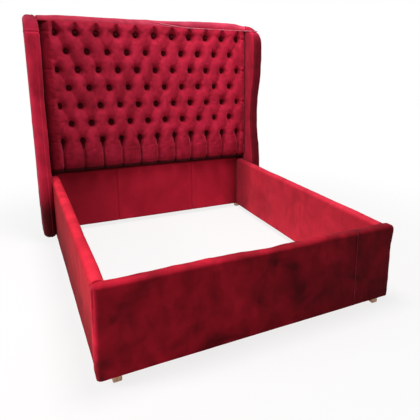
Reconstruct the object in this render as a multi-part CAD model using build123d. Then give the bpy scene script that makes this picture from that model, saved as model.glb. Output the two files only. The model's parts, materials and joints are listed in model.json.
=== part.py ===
from build123d import *
from math import cos, radians, sin
import os

# Upholstered bed with a deep buttoned, winged headboard.
# Millimetres. Origin on the floor under the middle of the bed, +X to the right as seen from
# the foot, +Y from the foot to the headboard, +Z up. Every piece belongs to one rigid body.

# Mattress that the bed holds, and the room around it
mattress_width = 1500.0
mattress_length = 2000.0
mattress_side_gap = 20.0
mattress_end_gap = 5.0

# Outer sizes of the upholstered panels
floor_gap = 38.0
rail_thickness = 60.0
rail_depth = 440.0
footboard_thickness = 70.0
footboard_proud = 5.0
footboard_rise = 5.0
headboard_height = 1690.0
wing_thickness = 88.0

# Padding over the timber, and the boards inside
rail_pad = 10.0
footboard_pad = 12.0
lower_pad_thickness = 10.0
wing_pad = 8.0
wing_edge_pad = 22.0
side_board = 12.0
wing_board = 9.0
front_ply = 9.0
headboard_timber = 44.0
back_panel = 7.0
batten_height = 40.0
end_block_length = 60.0

# Rounding of the padded edges
rail_round = 26.0
footboard_round = 22.0
roll_round = 30.0
wing_round = 30.0
wing_bevel = 8.0
wing_foot_round = 60.0

# Headboard timbers
post_width = 70.0
top_rail_height = 70.0
middle_rail_height = 90.0
bottom_rail_height = 90.0
stud_width = 60.0
tenon_length = 25.0
tenon_thickness = 14.0
tenon_shoulder = 10.0
tenon_clearance = 0.2

# Buttoned pad: rows of buttons set in diamonds, and the depth of its quilting
button_columns = 11
button_rows = 7
column_spacing = 148.0
row_spacing = 137.0
pattern_shift = 15.0
top_row_drop = 77.0
tufted_pad_rise = 34.0
top_roll_height = 35.0
pit_depth = 22.0
quilt_crown = 68.0
crease_rise = 48.0
pleat_rise = 38.0
edge_draw_in = 42.0
edge_draw_width = 60.0
top_draw_in = 15.0
upper_band_steps = 2
lower_band_steps = 4
side_steps = 2
button_radius = 14.0
button_dome = 7.0
button_sides = 8
button_shoulder_share = 0.86
button_crown_share = 0.45
button_rise_share = 0.55
seat_gap = 0.3

# Wing outline: how far its front edge stands out from the lower panel, and at what height,
# measured down and up from the rails' top and down from the headboard's top
wing_reach_low = 218.0
wing_reach_waist = 160.0
wing_reach_high = 230.0
wing_low_drop = 58.0
wing_waist_rise = 447.0
wing_high_drop = 290.0
wing_shoulder_drop = 160.0
wing_crown_reach = 150.0
wing_crown_drop = 40.0
wing_rib_width = 34.0
wing_batten = 20.0

# Seams between the fabric widths
seam_width = 6.0
seam_depth = 3.0
lower_seam_place = 330.0
footboard_seam_place = 568.0

# Steel hook plates on the rail ends and the sockets that they drop into
plate_width = 36.0
plate_height = 180.0
plate_thickness = 3.0
socket_wall = 3.0
slot_width = 5.0
slot_height = 36.0
hook_width = 4.0
hook_height = 22.0
hook_drop = 8.0
hook_depth = 4.0
hook_spacing = 90.0
hook_clearance = 0.5

# Fasteners
screw_radius = 2.0
screw_head_radius = 4.0
screw_head_height = 2.5
screw_length = 32.0
screw_spacing = 150.0
screw_clearance = 0.1
screw_sides = 8
bolt_radius = 4.0
bolt_head_radius = 6.5
bolt_head_height = 5.0
bolt_length = 58.0
bolt_set_in = 12.0
bolt_clearance = 0.5
bolt_sides = 8
bolt_count = 3
bolt_first_rise = 262.0
bolt_last_drop = 290.0
washer_radius = 8.0
washer_thickness = 2.0

# Feet
foot_width = 40.0
foot_bevel = 4.0
foot_front_inset = 85.0
foot_screw_length = 60.0
foot_screw_sink = 8.0

# Cuts run past the faces that they go through by this much
overrun = 5.0

# Places worked out from the sizes above
inner_half = mattress_width / 2 + mattress_side_gap
rail_outer = inner_half + rail_thickness
rail_middle = inner_half + rail_thickness / 2
rail_top = floor_gap + rail_depth
footboard_half = rail_outer + footboard_proud
footboard_top = rail_top + footboard_rise
headboard_thickness = lower_pad_thickness + front_ply + headboard_timber + back_panel
inner_length = mattress_length + mattress_end_gap
total_length = footboard_thickness + inner_length + headboard_thickness
foot_face = -total_length / 2
foot_inner = foot_face + footboard_thickness
panel_face = foot_inner + inner_length
back_face = total_length / 2
ply_face = panel_face + lower_pad_thickness
timber_face = ply_face + front_ply
timber_back = timber_face + headboard_timber
post_middle = timber_face + headboard_timber / 2
tufted_pad_bottom = rail_top + tufted_pad_rise
tufted_pad_top = headboard_height - top_roll_height
top_row_height = tufted_pad_top - top_row_drop
pit_face = ply_face - pit_depth
crown_face = pit_face - quilt_crown
bottom_row_height = top_row_height - (button_rows - 1) * row_spacing
half_column = column_spacing / 2
last_half = button_columns - 1
pad_half = rail_outer - seat_gap
wing_outer = rail_outer + wing_thickness
plate_middle = floor_gap + rail_depth / 2
wing_low_height = rail_top - wing_low_drop
wing_waist_height = rail_top + wing_waist_rise
wing_high_height = headboard_height - wing_high_drop
wing_shoulder_height = headboard_height - wing_shoulder_drop

os.makedirs("parts", exist_ok=True)


def save(node, shape):
    """Write one named piece."""
    shape.label = node
    export_step(shape, "parts/" + node + ".step")


def save_pair(kind, piece, shape):
    """Write a right-hand piece and its mirror image on the left."""
    save(kind + "_right_" + piece, shape)
    save(kind + "_left_" + piece, mirror(shape, about=Plane.YZ))


def block(x0, x1, y0, y1, z0, z1):
    """A box between two corners."""
    box = Box(x1 - x0, y1 - y0, z1 - z0)
    return Pos((x0 + x1) / 2, (y0 + y1) / 2, (z0 + z1) / 2) * box


def rod(radius, length, place, direction):
    """A bar with a few flat sides that starts at a place and runs in a direction."""
    plane = Plane(origin=place, z_dir=direction)
    return extrude(plane * RegularPolygon(radius, bolt_sides), amount=length)


def seam_cut(x, face, z0, z1):
    """A V-shaped prism that presses a vertical seam into a face that looks towards the foot."""
    outline = Polyline(
        (x - seam_width / 2, face - overrun),
        (x - seam_width / 2, face),
        (x, face + seam_depth),
        (x + seam_width / 2, face),
        (x + seam_width / 2, face - overrun),
        close=True,
    )
    return extrude(Pos(0, 0, z0) * make_face(outline), amount=z1 - z0, dir=(0, 0, 1))


def faceted(sides, sections):
    """A solid with flat sides through polygons of (radius, height), from the lowest up."""
    angles = [radians(360 * side / sides) for side in range(sides)]
    rings = [[(r * cos(a), r * sin(a), height) for a in angles] for r, height in sections]
    outlines = [rings[0], rings[-1]]
    for lower, upper in zip(rings, rings[1:]):
        for k in range(sides):
            n = (k + 1) % sides
            outlines.append([lower[k], lower[n], upper[n], upper[k]])
    faces = [Face(Wire.make_polygon(outline, close=True)) for outline in outlines]
    return Solid(Shell(faces))


def screw(place, direction, length=screw_length, grow=0):
    """A countersunk wood screw with flat sides, its head's face at a place, or grown, its hole."""
    body = faceted(screw_sides, [
        (screw_head_radius + grow, 0),
        (screw_radius + grow, screw_head_height),
        (screw_radius + grow, length + grow),
    ])
    return Plane(origin=place, z_dir=direction).location * body


def screw_hole(place, direction, length=screw_length):
    """The hole that a screw needs, a hair wider than the screw."""
    return screw(place, direction, length, screw_clearance)


def spread(start, end, steps):
    """Evenly spaced values after start, up to and with end."""
    return [start + (end - start) * step / steps for step in range(1, steps + 1)]


def cut_all(shape, tools):
    """Take a list of tools out of a shape."""
    for tool in tools:
        shape = shape - tool
    return shape


# Hook plates, sockets and their screws

def screw_places(y):
    """The two screw heads on one plate, at the right-hand rail's middle."""
    return [(rail_middle, y, plate_middle + side * screw_spacing / 2) for side in (-1, 1)]


def hook_plate(face, towards):
    """A plate let into a rail's end, with two hooks that stand out along towards (-1 or 1)."""
    inner = face - towards * plate_thickness
    low = plate_middle - plate_height / 2
    plate = block(
        rail_middle - plate_width / 2, rail_middle + plate_width / 2,
        min(face, inner), max(face, inner), low, low + plate_height,
    )
    lip_start = face + towards * (socket_wall + hook_clearance)
    lip_end = lip_start + towards * hook_depth
    for side in (-1, 1):
        top = plate_middle + side * hook_spacing / 2 + hook_height / 2
        outline = Polyline(
            (face, top),
            (lip_end, top),
            (lip_end, top - hook_height - hook_drop),
            (lip_start, top - hook_height - hook_drop),
            (lip_start, top - hook_height),
            (face, top - hook_height),
            close=True,
        )
        hook = extrude(make_face(Plane.YZ * outline), amount=hook_width / 2, both=True)
        plate = plate + Pos(rail_middle, 0, 0) * hook
    holes = [screw_hole(place, (0, -towards, 0)) for place in screw_places(face)]
    return cut_all(plate, holes)


def socket(face, towards, depth):
    """A pressed pan with two slots, flush with the padding, its rim on the board behind."""
    x0 = rail_middle - plate_width / 2
    x1 = rail_middle + plate_width / 2
    low = plate_middle - plate_height / 2
    high = plate_middle + plate_height / 2
    back = face + towards * depth
    hollow_front = face + towards * socket_wall
    hollow_back = back + towards * overrun
    body = block(x0, x1, min(face, back), max(face, back), low, high)
    hollow = block(
        x0 + socket_wall, x1 - socket_wall,
        min(hollow_front, hollow_back), max(hollow_front, hollow_back),
        low + socket_wall, high - socket_wall,
    )
    body = body - hollow
    for side in (-1, 1):
        middle = plate_middle + side * hook_spacing / 2 - hook_drop / 2
        slot = Box(slot_width, depth, slot_height)
        body = body - Pos(rail_middle, face, middle) * slot
    holes = [screw_hole(place, (0, towards, 0)) for place in screw_places(face)]
    return cut_all(body, holes)


def socket_window(face, towards, depth):
    """The opening in the padding that a socket sits in."""
    low = plate_middle - plate_height / 2
    start = face - towards * overrun
    end = face + towards * (depth + overrun)
    return block(
        rail_middle - plate_width / 2, rail_middle + plate_width / 2,
        min(start, end), max(start, end), low, low + plate_height,
    )


def both_sides(shape):
    """A right-hand shape and its mirror image, as separate solids of one piece."""
    return Compound(children=[shape, mirror(shape, about=Plane.YZ)])


def make_hardware():
    """Hook plates, sockets, and the screws that hold them."""
    front_plate = hook_plate(foot_inner, -1)
    back_plate = hook_plate(panel_face, 1)
    save_pair("rail", "hook_plates", Compound(children=[front_plate, back_plate]))
    save("footboard_hook_sockets", both_sides(socket(foot_inner, -1, footboard_pad)))
    save("headboard_hook_sockets", both_sides(socket(panel_face, 1, lower_pad_thickness)))
    plate_screws = [screw(place, (0, 1, 0)) for place in screw_places(foot_inner)]
    plate_screws += [screw(place, (0, -1, 0)) for place in screw_places(panel_face)]
    save("plate_screws", both_sides(Compound(children=plate_screws)))
    socket_screws = [screw(place, (0, -1, 0)) for place in screw_places(foot_inner)]
    socket_screws += [screw(place, (0, 1, 0)) for place in screw_places(panel_face)]
    save("socket_screws", both_sides(Compound(children=socket_screws)))


# Side rails

def make_rails():
    """Two boards on battens under a padded cover that is open underneath."""
    cover = block(inner_half, rail_outer, foot_inner, panel_face, floor_gap, rail_top)
    long_edges = cover.edges().filter_by(Axis.Y).group_by(Axis.Z)[-1]
    cover = fillet(long_edges, rail_round)
    board_inner = inner_half + rail_pad
    board_outer = rail_outer - rail_pad
    board_top = rail_top - rail_pad
    hollow = block(
        board_inner, board_outer, foot_inner - overrun, panel_face + overrun,
        floor_gap - overrun, board_top,
    )
    save_pair("rail", "cover", cover - hollow)

    start = foot_inner + plate_thickness
    end = panel_face - plate_thickness
    outer_board = block(board_outer - side_board, board_outer, start, end, floor_gap, board_top)
    inner_board = block(board_inner, board_inner + side_board, start, end, floor_gap, board_top)
    save_pair("rail", "outer_board", outer_board)
    save_pair("rail", "inner_board", inner_board)

    gap_start = board_inner + side_board
    gap_end = board_outer - side_board
    batten_low = block(gap_start, gap_end, start, end, floor_gap, floor_gap + batten_height)
    batten_high = block(gap_start, gap_end, start, end, board_top - batten_height, board_top)
    save_pair("rail", "bottom_batten", batten_low)
    save_pair("rail", "top_batten", batten_high)

    block_low = floor_gap + batten_height
    block_high = board_top - batten_height
    front = block(gap_start, gap_end, start, start + end_block_length, block_low, block_high)
    back = block(gap_start, gap_end, end - end_block_length, end, block_low, block_high)
    front = cut_all(front, [screw_hole(place, (0, 1, 0)) for place in screw_places(foot_inner)])
    back = cut_all(back, [screw_hole(place, (0, -1, 0)) for place in screw_places(panel_face)])
    save_pair("rail", "end_blocks", Compound(children=[front, back]))


# Footboard

def make_footboard():
    """The same build as a rail, as wide as the bed, with closed padded ends."""
    cover = block(
        -footboard_half, footboard_half, foot_face, foot_inner, floor_gap, footboard_top,
    )
    soft_edges = cover.edges().filter_by(Axis.Z) + cover.edges().group_by(Axis.Z)[-1]
    cover = fillet(soft_edges, footboard_round)
    board_half = footboard_half - footboard_pad
    board_top = footboard_top - footboard_pad
    board_front = foot_face + footboard_pad
    board_back = foot_inner - footboard_pad
    cover = cover - block(
        -board_half, board_half, board_front, board_back, floor_gap - overrun, board_top,
    )
    window = socket_window(foot_inner, -1, footboard_pad)
    seam_top = footboard_top - footboard_round
    tools = [
        window,
        mirror(window, about=Plane.YZ),
        seam_cut(footboard_seam_place, foot_face, floor_gap - overrun, seam_top),
    ]
    save("footboard_cover", cut_all(cover, tools))

    save("footboard_front_board", block(
        -board_half, board_half, board_front, board_front + side_board, floor_gap, board_top,
    ))
    back_board = block(
        -board_half, board_half, board_back - side_board, board_back, floor_gap, board_top,
    )
    holes = [screw_hole(place, (0, -1, 0)) for place in screw_places(foot_inner)]
    holes += [mirror(hole, about=Plane.YZ) for hole in holes]
    save("footboard_back_board", cut_all(back_board, holes))

    gap_start = board_front + side_board
    gap_end = board_back - side_board
    low = block(-board_half, board_half, gap_start, gap_end, floor_gap, floor_gap + batten_height)
    save("footboard_bottom_batten", cut_all(low, foot_screw_holes(front_foot_place())))
    save("footboard_top_batten", block(
        -board_half, board_half, gap_start, gap_end, board_top - batten_height, board_top,
    ))
    stud_low = floor_gap + batten_height
    stud_high = board_top - batten_height
    end_stud = block(
        board_half - end_block_length, board_half, gap_start, gap_end, stud_low, stud_high,
    )
    end_stud = cut_all(end_stud, holes)
    middle_stud = block(
        -end_block_length / 2, end_block_length / 2, gap_start, gap_end, stud_low, stud_high,
    )
    studs = [end_stud, middle_stud, mirror(end_stud, about=Plane.YZ)]
    save("footboard_studs", Compound(children=studs))


# Headboard frame

def tenon(x0, x1, z0, z1, grow):
    """The tongue between two x places on a rail that spans z0 to z1, or its mortise if grown."""
    half = tenon_thickness / 2 + grow
    return block(
        x0, x1, post_middle - half, post_middle + half,
        z0 + tenon_shoulder - grow, z1 - tenon_shoulder + grow,
    )


def cross_rails():
    """The three cross rails of the headboard: name, lowest and highest place."""
    middle_low = tufted_pad_bottom - middle_rail_height / 2
    return [
        ("headboard_bottom_rail", floor_gap, floor_gap + bottom_rail_height),
        ("headboard_middle_rail", middle_low, middle_low + middle_rail_height),
        ("headboard_top_rail", tufted_pad_top - top_rail_height, tufted_pad_top),
    ]


def bolt_places():
    """Where the wing bolts cross the post's side."""
    first = floor_gap + bolt_first_rise
    last = headboard_height - bolt_last_drop
    heights = [first] + spread(first, last, bolt_count - 1)
    return [(timber_face + bolt_set_in, height) for height in heights]


def make_headboard_frame():
    """Posts, mortised cross rails, centre studs, the front plywood and the back panel."""
    post_inner = rail_outer - post_width
    post = block(post_inner, rail_outer, timber_face, timber_back, floor_gap, tufted_pad_top)
    mortise_end = post_inner + tenon_length + tenon_clearance
    for name, low, high in cross_rails():
        rail = block(-post_inner, post_inner, timber_face, timber_back, low, high)
        tongue = tenon(-post_inner - tenon_length, post_inner + tenon_length, low, high, 0)
        save(name, rail + tongue)
        post = post - tenon(post_inner - overrun, mortise_end, low, high, tenon_clearance)
    for y, z in bolt_places():
        post = post - rod(
            bolt_radius + screw_clearance, bolt_length + overrun,
            (rail_outer + overrun, y, z), (-1, 0, 0),
        )
    sockets = [screw_hole(place, (0, 1, 0)) for place in screw_places(panel_face)]
    post = cut_all(post, sockets + foot_screw_holes(back_foot_place()))
    save_pair("headboard", "post", post)

    for name, lower, upper in (("lower_stud", 0, 1), ("upper_stud", 1, 2)):
        stud_low = cross_rails()[lower][2]
        stud_high = cross_rails()[upper][1]
        save("headboard_" + name, block(
            -stud_width / 2, stud_width / 2, timber_face, timber_back, stud_low, stud_high,
        ))

    ply = block(-rail_outer, rail_outer, ply_face, timber_face, floor_gap, tufted_pad_top)
    sockets += [mirror(hole, about=Plane.YZ) for hole in sockets]
    save("headboard_front_ply", cut_all(ply, sockets))
    save("headboard_back_panel", block(
        -rail_outer, rail_outer, timber_back, back_face, floor_gap, tufted_pad_top,
    ))


# Headboard upholstery

def make_lower_pad():
    """The plain pad under the buttoned one, with two seams and a window for each socket."""
    pad = block(
        -rail_outer, rail_outer, panel_face, ply_face, floor_gap, tufted_pad_bottom,
    )
    window = socket_window(panel_face, 1, lower_pad_thickness)
    tools = [window, mirror(window, about=Plane.YZ)]
    for x in (-lower_seam_place, lower_seam_place):
        tools.append(seam_cut(x, panel_face, floor_gap - overrun, tufted_pad_bottom + overrun))
    save("headboard_lower_pad", cut_all(pad, tools))


def make_top_roll():
    """The plain padded strip that lies over the headboard's top edge, rounded along its length."""
    roll_front = crown_face + top_draw_in
    half = rail_outer - seat_gap
    roll = block(-half, half, roll_front, back_face, tufted_pad_top, headboard_height)
    edges = roll.edges().filter_by(Axis.X).group_by(Axis.Z)[-1]
    save("headboard_top_roll", fillet(edges, roll_round))


def fold(value):
    """One at a whole number, falling to nothing half way between two of them."""
    return 2 * abs(value - int(value // 1) - 1 / 2)


def quilt_height(x, z):
    """How far the quilted face stands in front of the pits, at a place on the pad."""
    across = (x - pattern_shift) / half_column
    down = (top_row_height - z) / row_spacing
    held_across = min(max(across, -last_half), last_half)
    held_down = min(max(down, 0), button_rows - 1)
    beyond = max(abs(across - held_across) * half_column, abs(down - held_down) * row_spacing)
    rising = fold((held_across + held_down) / 2)
    falling = fold((held_across - held_down) / 2)
    pillow = (1 - rising ** 2) * (1 - falling ** 2)
    pit = (rising * falling) ** 2
    height = crease_rise * (1 - pit) + (quilt_crown - crease_rise) * pillow
    filled = min(beyond / half_column, 1)
    height += pleat_rise * pit * filled
    edge = min(pad_half - abs(x), z - tufted_pad_bottom)
    near_edge = max(1 - edge / edge_draw_width, 0)
    near_top = max(1 - (tufted_pad_top - z) / edge_draw_width, 0)
    return height - edge_draw_in * near_edge ** 2 - top_draw_in * near_top ** 2


def pad_columns():
    """Grid lines across the pad: the pattern's quarter pitches, then the margins."""
    first = pattern_shift - last_half * half_column
    last = pattern_shift + last_half * half_column
    inside = [first] + spread(first, last, 4 * (button_columns - 1))
    left = [-pad_half] + spread(-pad_half, first, side_steps)[:-1]
    return left + inside + spread(last, pad_half, side_steps)


def pad_rows():
    """Grid lines down the pad: the band over the top row, the half rows, the band below."""
    inside = spread(top_row_height, bottom_row_height, 2 * (button_rows - 1))
    above = [tufted_pad_top] + spread(tufted_pad_top, top_row_height, upper_band_steps)
    return above + inside + spread(bottom_row_height, tufted_pad_bottom, lower_band_steps)


def make_tufted_pad():
    """The deep buttoned pad: faces that meet along the creases between the buttons."""
    columns = pad_columns()
    rows = pad_rows()
    points = [[(x, pit_face - quilt_height(x, z), z) for z in rows] for x in columns]
    faces = []

    def face(*corners):
        faces.append(Face(Wire.make_polygon(corners, close=True)))

    for i in range(len(columns) - 1):
        for j in range(len(rows) - 1):
            a, b = points[i][j], points[i + 1][j]
            c, d = points[i + 1][j + 1], points[i][j + 1]
            along = (i - side_steps) + (j - upper_band_steps)
            if along % 2:
                face(a, b, d)
                face(b, c, d)
            else:
                face(a, b, c)
                face(a, c, d)

    rim = [line[0] for line in points]
    rim += points[-1][1:]
    rim += [line[-1] for line in reversed(points[:-1])]
    rim += list(reversed(points[0][1:-1]))
    back = [(x, ply_face, z) for x, y, z in rim]
    face(*back)
    for i in range(len(rim)):
        j = (i + 1) % len(rim)
        face(rim[i], rim[j], back[j], back[i])
    save("headboard_tufted_pad", Solid(Shell(faces)))


def button_places():
    """Middle of each button: full rows of columns, and rows of one fewer between them."""
    places = []
    for row in range(button_rows):
        count = button_columns - row % 2
        for column in range(count):
            x = pattern_shift + (column - (count - 1) / 2) * column_spacing
            places.append((x, top_row_height - row * row_spacing))
    return places


def make_buttons():
    """Covered buttons that rest on the quilting around their pits."""
    slope = quilt_height(pattern_shift + half_column / 2, top_row_height) / (half_column / 2)
    seat = pit_face - slope * button_radius - seat_gap
    button = faceted(button_sides, [
        (button_radius, 0),
        (button_radius * button_shoulder_share, button_dome * button_rise_share),
        (button_radius * button_crown_share, button_dome),
    ])
    buttons = []
    for x, z in button_places():
        buttons.append(Plane(origin=(x, seat, z), z_dir=(0, -1, 0)).location * button)
    save("tuft_buttons", Compound(children=buttons))


# Wings

def wing_face(inset):
    """The wing's outline in the YZ plane, drawn in from its front, top and foot by an inset."""
    low = floor_gap + inset
    top = headboard_height - inset
    back = back_face - min(inset, wing_pad)
    reach_low = panel_face - wing_reach_low + inset
    waist = (panel_face - wing_reach_waist + inset, wing_waist_height)
    reach_high = panel_face - wing_reach_high + inset
    corner = wing_foot_round - inset
    crown = (panel_face - wing_crown_reach + inset / 2, top - wing_crown_drop)
    below = ((reach_low + waist[0]) / 2, (wing_low_height + wing_waist_height) / 2)
    above = ((reach_high + waist[0]) / 2, (wing_high_height + wing_waist_height) / 2)
    up = (0, 1)
    foot = TangentArc((reach_low + corner, low), (reach_low, low + corner), tangent=(-1, 0))
    shin = Line((reach_low, low + corner), (reach_low, wing_low_height))
    hollow_in = TangentArc((reach_low, wing_low_height), below, tangent=up)
    hollow_up = TangentArc(below, waist, tangent=hollow_in % 1)
    swell_out = TangentArc(waist, above, tangent=up)
    swell_up = TangentArc(above, (reach_high, wing_high_height), tangent=swell_out % 1)
    neck = Line((reach_high, wing_high_height), (reach_high, wing_shoulder_height))
    shoulder = TangentArc((reach_high, wing_shoulder_height), crown, tangent=up)
    brow = TangentArc(crown, (panel_face, top), tangent=shoulder % 1)
    roof = Line((panel_face, top), (back, top))
    spine = Line((back, top), (back, low))
    sole = Line((back, low), (reach_low + corner, low))
    edges = [foot, shin, hollow_in, hollow_up, swell_out, swell_up, neck, shoulder, brow]
    return make_face(Plane.YZ * Curve(children=edges + [roof, spine, sole]))


def wing_slab(inset, x0, x1):
    """The wing's outline, drawn in by an inset, between two places across the bed."""
    return Pos(x0, 0, 0) * extrude(wing_face(inset), amount=x1 - x0, dir=(1, 0, 0))


def rim_edges(cover, x):
    """The edges round one side of a wing, apart from its straight back."""
    return [
        edge for edge in cover.edges()
        if edge.center().Y < back_face - overrun
        and abs(edge.center().X - x) < seat_gap
        and edge.bounding_box().size.X < seat_gap
    ]


def make_wings():
    """Curved plywood sides on an edge rib and a batten, under a padded cover."""
    core_inner = rail_outer + wing_pad
    core_outer = wing_outer - wing_pad
    cover = wing_slab(0, rail_outer, wing_outer)
    cover = fillet(rim_edges(cover, wing_outer), wing_round)
    cover = chamfer(rim_edges(cover, rail_outer), wing_bevel)
    cover = cover - wing_slab(wing_edge_pad, core_inner, core_outer)
    slot_start = panel_face - wing_reach_low + wing_foot_round
    cover = cover - block(
        core_inner, core_outer, slot_start, back_face - wing_pad,
        floor_gap - overrun, floor_gap + wing_edge_pad + overrun,
    )
    bolt_bores = [
        rod(bolt_radius + bolt_clearance, bolt_length, (rail_outer - overrun, y, z), (1, 0, 0))
        for y, z in bolt_places()
    ]
    inner_board = wing_slab(wing_edge_pad, core_inner, core_inner + wing_board)
    save_pair("wing", "cover", cut_cover(cover, core_inner, bolt_bores))
    save_pair("wing", "inner_board", cut_all(inner_board, bolt_bores))
    save_pair("wing", "outer_board", wing_slab(wing_edge_pad, core_outer - wing_board, core_outer))

    rib_inner = core_inner + wing_board
    rib_outer = core_outer - wing_board
    rib = wing_slab(wing_edge_pad, rib_inner, rib_outer)
    rib = rib - wing_slab(wing_edge_pad + wing_rib_width, rib_inner, rib_outer)
    batten_back = back_face - wing_pad
    batten_front = batten_back - wing_batten
    rib = rib - block(
        rib_inner, rib_outer, batten_front, back_face, floor_gap, headboard_height,
    )
    save_pair("wing", "edge_rib", rib)
    save_pair("wing", "back_batten", block(
        rib_inner, rib_outer, batten_front, batten_back,
        floor_gap + wing_edge_pad, headboard_height - wing_edge_pad,
    ))
    make_wing_bolts(rib_inner)


def cut_cover(cover, core_inner, bores):
    """Bolt bores through the cover's inner skin only."""
    skin = block(
        rail_outer - overrun, core_inner, timber_face, timber_back, floor_gap, headboard_height,
    )
    return cut_all(cover, [bore & skin for bore in bores])


def make_wing_bolts(seat):
    """Bolts from inside each wing into the headboard post, each with a washer."""
    bolts = []
    washers = []
    for y, z in bolt_places():
        washer = rod(washer_radius, washer_thickness, (seat, y, z), (1, 0, 0))
        hole = rod(bolt_radius + bolt_clearance, washer_thickness, (seat, y, z), (1, 0, 0))
        washers.append(washer - hole)
        head_seat = seat + washer_thickness
        plane = Plane(origin=(head_seat, y, z), z_dir=(1, 0, 0))
        head = extrude(plane * RegularPolygon(bolt_head_radius, 6), amount=bolt_head_height)
        bolts.append(head + rod(bolt_radius, bolt_length, (head_seat, y, z), (-1, 0, 0)))
    save("wing_bolts", both_sides(Compound(children=bolts)))
    save("wing_washers", both_sides(Compound(children=washers)))


# Feet

def front_foot_place():
    """Middle of the right-hand front foot."""
    return (footboard_half - foot_front_inset, (foot_face + foot_inner) / 2)


def back_foot_place():
    """Middle of the right-hand back foot, under the post."""
    return (rail_outer - post_width / 2, post_middle)


def foot_screw_place(place):
    """The head of the screw that goes up through a foot."""
    return (place[0], place[1], foot_screw_sink)


def foot_screw_holes(place):
    """The holes for the right-hand and left-hand foot screws at a place."""
    hole = screw_hole(foot_screw_place(place), (0, 0, 1), foot_screw_length)
    return [hole, mirror(hole, about=Plane.YZ)]


def make_feet():
    """Bevelled softwood blocks, each held by one long screw sunk into its underside."""
    screws = []
    for end, place in (("front", front_foot_place()), ("back", back_foot_place())):
        foot = Pos(place[0], place[1], floor_gap / 2) * Box(foot_width, foot_width, floor_gap)
        foot = chamfer(foot.edges().filter_by(Axis.Z), foot_bevel)
        foot = chamfer(foot.edges().group_by(Axis.Z)[0], foot_bevel / 2)
        well = rod(screw_head_radius + seat_gap, foot_screw_sink, (*place, 0), (0, 0, 1))
        foot = foot - well - foot_screw_holes(place)[0]
        save("foot_" + end + "_right", foot)
        save("foot_" + end + "_left", mirror(foot, about=Plane.YZ))
        screws.append(screw(foot_screw_place(place), (0, 0, 1), foot_screw_length))
    save("foot_screws", both_sides(Compound(children=screws)))


make_hardware()
make_rails()
make_footboard()
make_headboard_frame()
make_lower_pad()
make_top_roll()
make_tufted_pad()
make_buttons()
make_wings()
make_feet()
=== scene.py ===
import json
import math

import bmesh
import bpy
import numpy as np
from mathutils import Matrix, Vector, noise


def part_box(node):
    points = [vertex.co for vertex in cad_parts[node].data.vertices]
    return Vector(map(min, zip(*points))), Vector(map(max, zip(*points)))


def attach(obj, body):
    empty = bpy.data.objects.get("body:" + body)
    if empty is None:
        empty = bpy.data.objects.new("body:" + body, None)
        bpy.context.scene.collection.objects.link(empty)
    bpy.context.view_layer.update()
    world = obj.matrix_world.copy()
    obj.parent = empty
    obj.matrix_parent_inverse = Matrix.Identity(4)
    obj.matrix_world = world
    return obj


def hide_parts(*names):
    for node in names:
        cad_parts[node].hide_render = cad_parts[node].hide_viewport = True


# Upholstered bed with a deep buttoned, winged headboard, dressed in crushed velvet.
# Metres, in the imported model's own frame: +X right as seen from the foot, +Y to the headboard.

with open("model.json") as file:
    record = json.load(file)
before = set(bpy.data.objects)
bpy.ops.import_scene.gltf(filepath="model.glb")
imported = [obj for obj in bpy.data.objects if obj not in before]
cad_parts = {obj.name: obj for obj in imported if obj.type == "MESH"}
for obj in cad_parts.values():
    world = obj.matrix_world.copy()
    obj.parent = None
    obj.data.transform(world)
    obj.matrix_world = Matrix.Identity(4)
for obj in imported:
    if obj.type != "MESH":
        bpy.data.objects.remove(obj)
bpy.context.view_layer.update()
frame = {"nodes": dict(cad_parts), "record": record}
slots = {part["node"]: part["material_slot"] for part in frame["record"]["subparts"]}

# Boxes of the solids that the soft pieces stand for
pad_low, pad_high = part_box("headboard_tufted_pad")
roll_low, roll_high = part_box("headboard_top_roll")
lower_low, lower_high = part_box("headboard_lower_pad")
rail_low, rail_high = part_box("rail_right_cover")
foot_low, foot_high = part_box("footboard_cover")
wing_low, wing_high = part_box("wing_right_cover")
button_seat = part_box("tuft_buttons")[1][1]

# Buttons and their pattern
button_columns = 11
button_rows = 7
column_spacing = 0.148
row_spacing = 0.137
pattern_shift = 0.015
top_row_height = 1.578
button_radius = 0.0145
button_dome = 0.007
button_skirt = 0.010

# Pits, pillows and creases of the buttoned pad
pad_cell = 0.008
pit_depth = 0.022
quilt_crown = 0.068
crease_rise = 0.059
pit_radius = 0.0295
lip_share = 0.10
top_pit_share = 0.22
crease_radius = 0.008
crease_depth = 0.006
crease_reach = 0.050

# Pleats of the buttoned pad, and its drawn-in edges as depth and width
pleat_depth = 0.040
side_pleat_depth = 0.010
side_pleat_width = 0.008
fold_width = 0.0045
funnel_width = 0.023
top_funnel_width = 0.031
pleat_round_depth = 0.014
edge_blend = 0.030
left_draw = (0.060, 0.080)
right_draw = (0.040, 0.034)
low_draw = (0.054, 0.072)
half_held_margin = 0.060
top_curve_start = 1.618
top_curve_depth = 0.050
pit_face = pad_high[1] - pit_depth
crown_face = pit_face - quilt_crown

# Cloth settling of the buttoned pad
settle_frames = 20
settle_pressure = 4.0
settle_slack = -0.015
settle_cap = 0.008
held_radius = 0.014
held_pleat = 0.010

# Rises and grooves along a line: their place beside it, width and height
pit_lip = (0.036, 0.007, 0.005)
pucker = (-0.017, 0.011, 0.004)
foot_hump = (0.36, 0.085, 0.006)
foot_seam = (0, 0.0030, 0.0030)
panel_groove = (0, 0.0045, -0.0065)
panel_shoulder = (0.022, 0.014, 0.0012)
roll_bump = (0.58, 0.36, 0.016)
roll_seam = (0, 0.0022, 0.0022)
roll_groove = (-0.0055, 0.0030, -0.0030)
cap_seam = (0, 0.005, 0.0025)
cap_groove = (-0.010, 0.005, -0.0040)

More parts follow.
